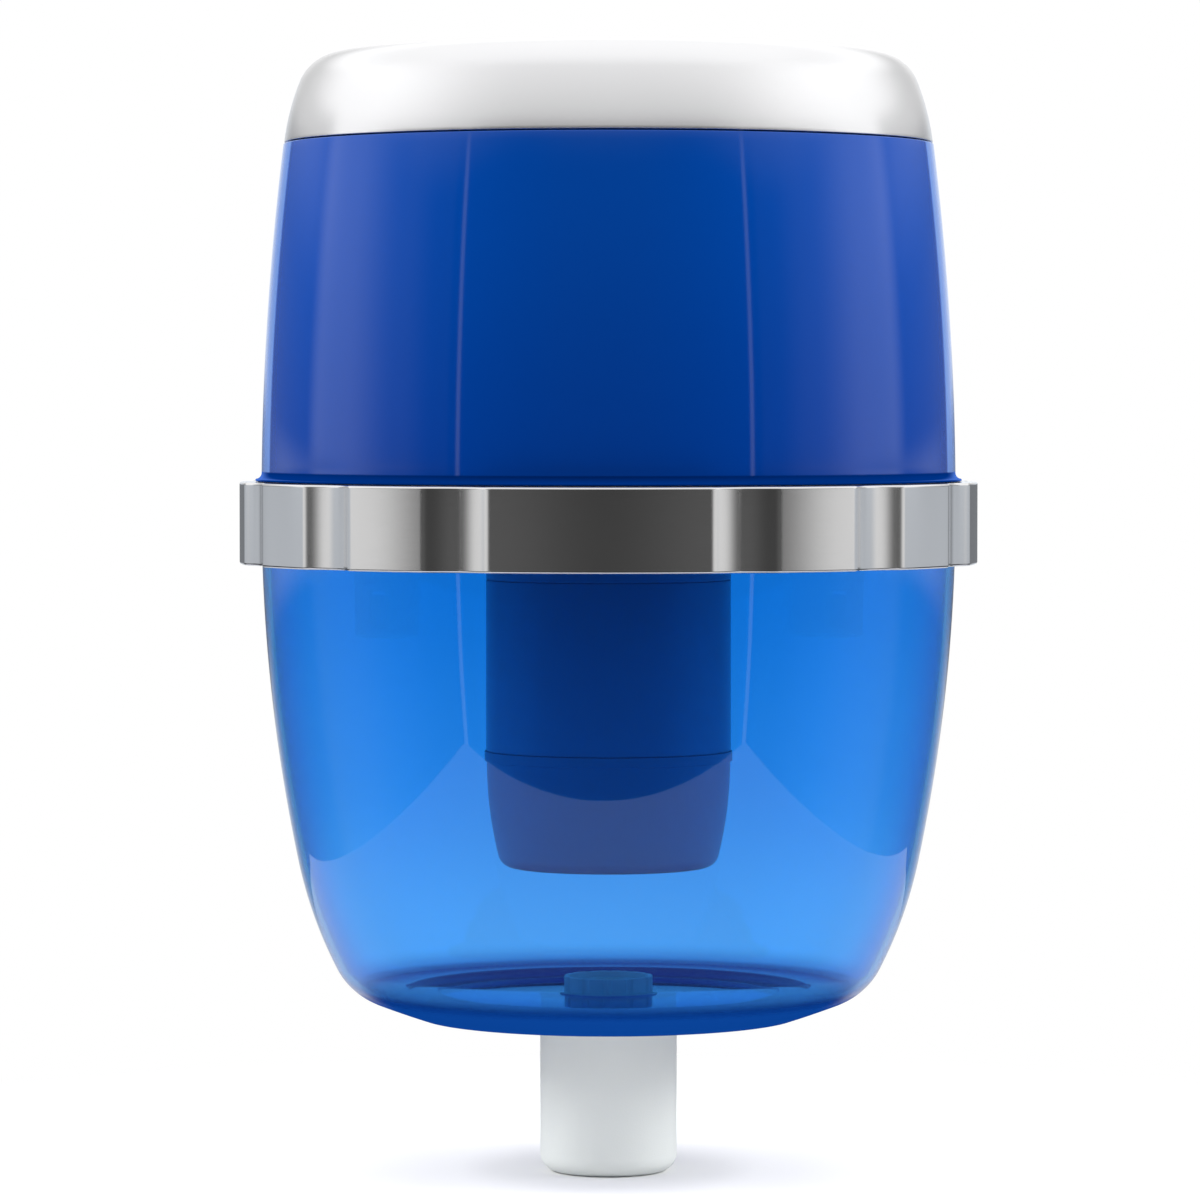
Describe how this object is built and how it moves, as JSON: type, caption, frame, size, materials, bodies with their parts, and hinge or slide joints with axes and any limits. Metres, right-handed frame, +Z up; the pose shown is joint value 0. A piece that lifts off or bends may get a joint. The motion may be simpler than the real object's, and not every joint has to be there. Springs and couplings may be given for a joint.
{
  "type": "water filter bottle",
  "caption": "Two-tank gravity water filter bottle with a silver lid, a scalloped steel band, a hanging cartridge in a clear blue tank and a spout for a cooler.",
  "frame": {"origin": "on the spout's axis, 2.8 mm above the plane of the lower tank's foot ring", "axes": "+Z up along the bottle's axis, -Y the front, where the band has its plain plate"},
  "size_m": [0.2946, 0.2945, 0.4501],
  "materials": {
    "silver_lid": "satin silver, softly mirrored",
    "deep_blue": "glossy deep blue, almost opaque",
    "clear_blue": "glossy, clear and tinted blue",
    "brushed_band": "finely brushed, bright edges",
    "white_spout": "fine matte texture",
    "grey_nut": "moulded, ribbed",
    "silicone": "milky silicone",
    "white_plastic": "moulded, slightly glossy",
    "float_plastic": "hollow moulded ball",
    "ceramic": "unglazed, chalky",
    "cartridge_blue": "moulded, dark blue grey",
    "cup_grey": "moulded, blue grey",
    "screen_plastic": "perforated",
    "felt": "pressed fibre",
    "carbon": "granules",
    "zeolite": "granules",
    "silica": "fine sand",
    "mineral": "small stones"
  },
  "bodies": {
    "lower": {"lower_tank": "clear_blue", "trim_band": "brushed_band", "tank_seal": "silicone", "spout": "white_spout", "spout_nut": "grey_nut", "nut_washer": "grey_nut", "spout_seal": "silicone", "probe_grommet": "silicone"},
    "upper": {"upper_tank": "deep_blue", "cartridge_cap": "cartridge_blue", "cap_seal": "silicone", "cartridge_body": "cartridge_blue", "cartridge_cup": "cup_grey", "outlet_screen": "screen_plastic", "mineral_bed": "mineral", "silica_bed": "silica", "zeolite_bed": "zeolite", "carbon_bed": "carbon", "filter_pads": "felt", "vent_pipe": "white_plastic", "vent_seal": "silicone", "vent_cap": "white_plastic", "float_cage": "white_plastic"},
    "lid": {"lid_cover": "silver_lid", "lid_liner": "white_plastic", "lid_seal": "silicone"},
    "dome": {"ceramic_dome": "ceramic", "dome_base": "white_plastic", "dome_seal": "silicone"},
    "float": {"float_ball": "float_plastic"}
  },
  "joints": [
    {"name": "tank_lift", "type": "slide", "parent": "lower", "child": "upper", "axis": [0, 0, 1], "range_m": [0, 0.16]},
    {"name": "lid_lift", "type": "slide", "parent": "upper", "child": "lid", "axis": [0, 0, 1], "range_m": [0, 0.06]},
    {"name": "dome_lift", "type": "slide", "parent": "upper", "child": "dome", "axis": [0, 0, 1], "range_m": [0, 0.04]},
    {"name": "float_rise", "type": "slide", "parent": "upper", "child": "float", "axis": [0, 0, 1], "range_m": [0, 0.0115]}
  ]
}
